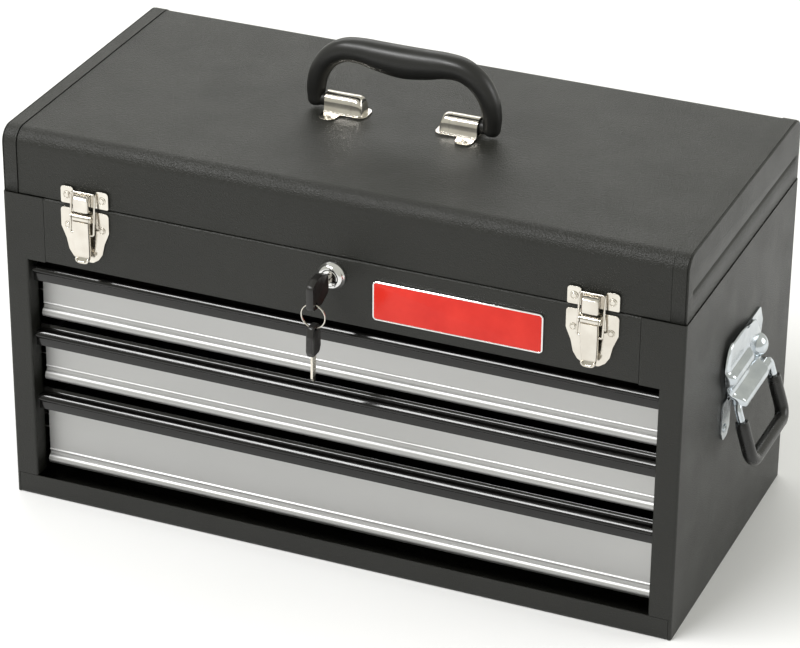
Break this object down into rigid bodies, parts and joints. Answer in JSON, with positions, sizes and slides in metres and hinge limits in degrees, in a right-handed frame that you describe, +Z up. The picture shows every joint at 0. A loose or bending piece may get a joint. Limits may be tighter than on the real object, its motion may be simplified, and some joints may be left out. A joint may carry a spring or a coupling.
{
  "type": "tool chest",
  "caption": "Portable steel tool chest with drawers, a lift-up lid over a till, draw latches, key lock, folding top handle and drop side handles.",
  "frame": {"origin": "middle of the underside of the base pan", "axes": "+Z up, -Y towards the drawers' front, +X to the right seen from the front"},
  "size_m": [0.5784, 0.2968, 0.3604],
  "materials": {
    "powder_coat": "black leather-grain powder coat, fine texture, low sheen",
    "inner_paint": "smooth satin black paint",
    "satin_front": "satin silver sheet with a bright rolled bead",
    "gloss_rail": "gloss black with a bright nose",
    "slide_steel": "plain bright zinc-plated steel",
    "nickel": "polished warm nickel plate",
    "zinc": "bluish bright zinc plate",
    "chrome": "polished chrome",
    "handle_plastic": "satin black moulded plastic",
    "key_plastic": "satin black moulded head",
    "vinyl": "black vinyl sleeve, soft sheen",
    "badge_enamel": "blank red enamel plate with a bright rim"
  },
  "bodies": {
    "cabinet": {"side_panel_left": "powder_coat", "side_panel_right": "powder_coat", "back_panel": "powder_coat", "base_pan": "powder_coat", "front_top_panel": "powder_coat", "till_floor": "inner_paint", "slide_rail_top_left": "slide_steel", "slide_rail_top_right": "slide_steel", "slide_rail_middle_left": "slide_steel", "slide_rail_middle_right": "slide_steel", "slide_rail_bottom_left": "slide_steel", "slide_rail_bottom_right": "slide_steel", "hinge_leaf_lower": "slide_steel", "hinge_pin": "slide_steel", "badge_plate": "badge_enamel", "latch_plate_left": "nickel", "latch_plate_right": "nickel", "lock_barrel": "chrome", "lock_nut": "zinc", "side_handle_plate_left": "zinc", "side_handle_plate_right": "zinc"},
    "lid": {"lid_shell": "powder_coat", "lid_end_cap_left": "powder_coat", "lid_end_cap_right": "powder_coat", "lid_catch": "slide_steel", "hinge_leaf_upper": "slide_steel", "latch_keeper_left": "nickel", "latch_keeper_right": "nickel", "handle_bracket_left": "nickel", "handle_bracket_right": "nickel"},
    "carry_handle": {"carry_handle": "handle_plastic"},
    "lock_plug": {"lock_plug": "chrome", "lock_cam": "zinc", "key_in_lock": "key_plastic"},
    "key_ring": {"key_ring": "nickel"},
    "spare_key": {"spare_key": "key_plastic"},
    "drawer_top": {"drawer_top_tray": "inner_paint", "drawer_top_front": "satin_front", "drawer_top_pull": "gloss_rail", "runner_top_left": "slide_steel", "runner_top_right": "slide_steel"},
    "drawer_middle": {"drawer_middle_tray": "inner_paint", "drawer_middle_front": "satin_front", "drawer_middle_pull": "gloss_rail", "runner_middle_left": "slide_steel", "runner_middle_right": "slide_steel"},
    "drawer_bottom": {"drawer_bottom_tray": "inner_paint", "drawer_bottom_front": "satin_front", "drawer_bottom_pull": "gloss_rail", "runner_bottom_left": "slide_steel", "runner_bottom_right": "slide_steel"},
    "latch_lever_left": {"latch_lever_left": "nickel"},
    "latch_loop_left": {"latch_loop_left": "nickel"},
    "side_handle_left": {"bail_left": "zinc", "bail_grip_left": "vinyl"},
    "latch_lever_right": {"latch_lever_right": "nickel"},
    "latch_loop_right": {"latch_loop_right": "nickel"},
    "side_handle_right": {"bail_right": "zinc", "bail_grip_right": "vinyl"}
  },
  "joints": [
    {"name": "lid_hinge", "type": "hinge", "parent": "cabinet", "child": "lid", "pos_m": [0, 0.1273, 0.252], "axis": [-1, 0, 0], "range_deg": [0, 95]},
    {"name": "carry_handle_fold", "type": "hinge", "parent": "lid", "child": "carry_handle", "pos_m": [0, 0, 0.309], "axis": [1, 0, 0], "range_deg": [-75, 75]},
    {"name": "drawer_top_slide", "type": "slide", "parent": "cabinet", "child": "drawer_top", "axis": [0, -1, 0], "range_m": [0, 0.17], "deforming": ["key_ring", "spare_key"]},
    {"name": "drawer_middle_slide", "type": "slide", "parent": "cabinet", "child": "drawer_middle", "axis": [0, -1, 0], "range_m": [0, 0.17]},
    {"name": "drawer_bottom_slide", "type": "slide", "parent": "cabinet", "child": "drawer_bottom", "axis": [0, -1, 0], "range_m": [0, 0.17]},
    {"name": "latch_lever_left_swing", "type": "hinge", "parent": "cabinet", "child": "latch_lever_left", "pos_m": [-0.194, -0.133, 0.2458], "axis": [-1, 0, 0], "range_deg": [0, 105]},
    {"name": "latch_loop_left_swing", "type": "hinge", "parent": "latch_lever_left", "child": "latch_loop_left", "pos_m": [-0.194, -0.133, 0.233], "axis": [1, 0, 0], "range_deg": [0, 105]},
    {"name": "side_handle_left_swing", "type": "hinge", "parent": "cabinet", "child": "side_handle_left", "pos_m": [-0.2705, 0.0085, 0.144], "axis": [0, 1, 0], "range_deg": [0, 70]},
    {"name": "latch_lever_right_swing", "type": "hinge", "parent": "cabinet", "child": "latch_lever_right", "pos_m": [0.194, -0.133, 0.2458], "axis": [-1, 0, 0], "range_deg": [0, 105]},
    {"name": "latch_loop_right_swing", "type": "hinge", "parent": "latch_lever_right", "child": "latch_loop_right", "pos_m": [0.194, -0.133, 0.233], "axis": [1, 0, 0], "range_deg": [0, 105]},
    {"name": "side_handle_right_swing", "type": "hinge", "parent": "cabinet", "child": "side_handle_right", "pos_m": [0.2705, 0.0085, 0.144], "axis": [0, -1, 0], "range_deg": [0, 70]},
    {"name": "lock_turn", "type": "hinge", "parent": "cabinet", "child": "lock_plug", "pos_m": [0, -0.127, 0.2373], "axis": [0, 1, 0], "range_deg": [0, 90]},
    {"name": "key_ring_hang", "type": "hinge", "parent": "lock_plug", "child": "key_ring", "pos_m": [0, -0.16, 0.2297], "axis": [0, 1, 0], "range_deg": [-90, 0]},
    {"name": "spare_key_swing", "type": "hinge", "parent": "key_ring", "child": "spare_key", "pos_m": [0, -0.16, 0.2113], "axis": [1, 0, 0], "range_deg": [-20, 20]}
  ],
  "couplings": [
    {"joint": "latch_loop_left_swing", "follows": "latch_lever_left_swing", "ratio": 1},
    {"joint": "latch_loop_right_swing", "follows": "latch_lever_right_swing", "ratio": 1},
    {"joint": "key_ring_hang", "follows": "lock_turn", "ratio": -1}
  ]
}
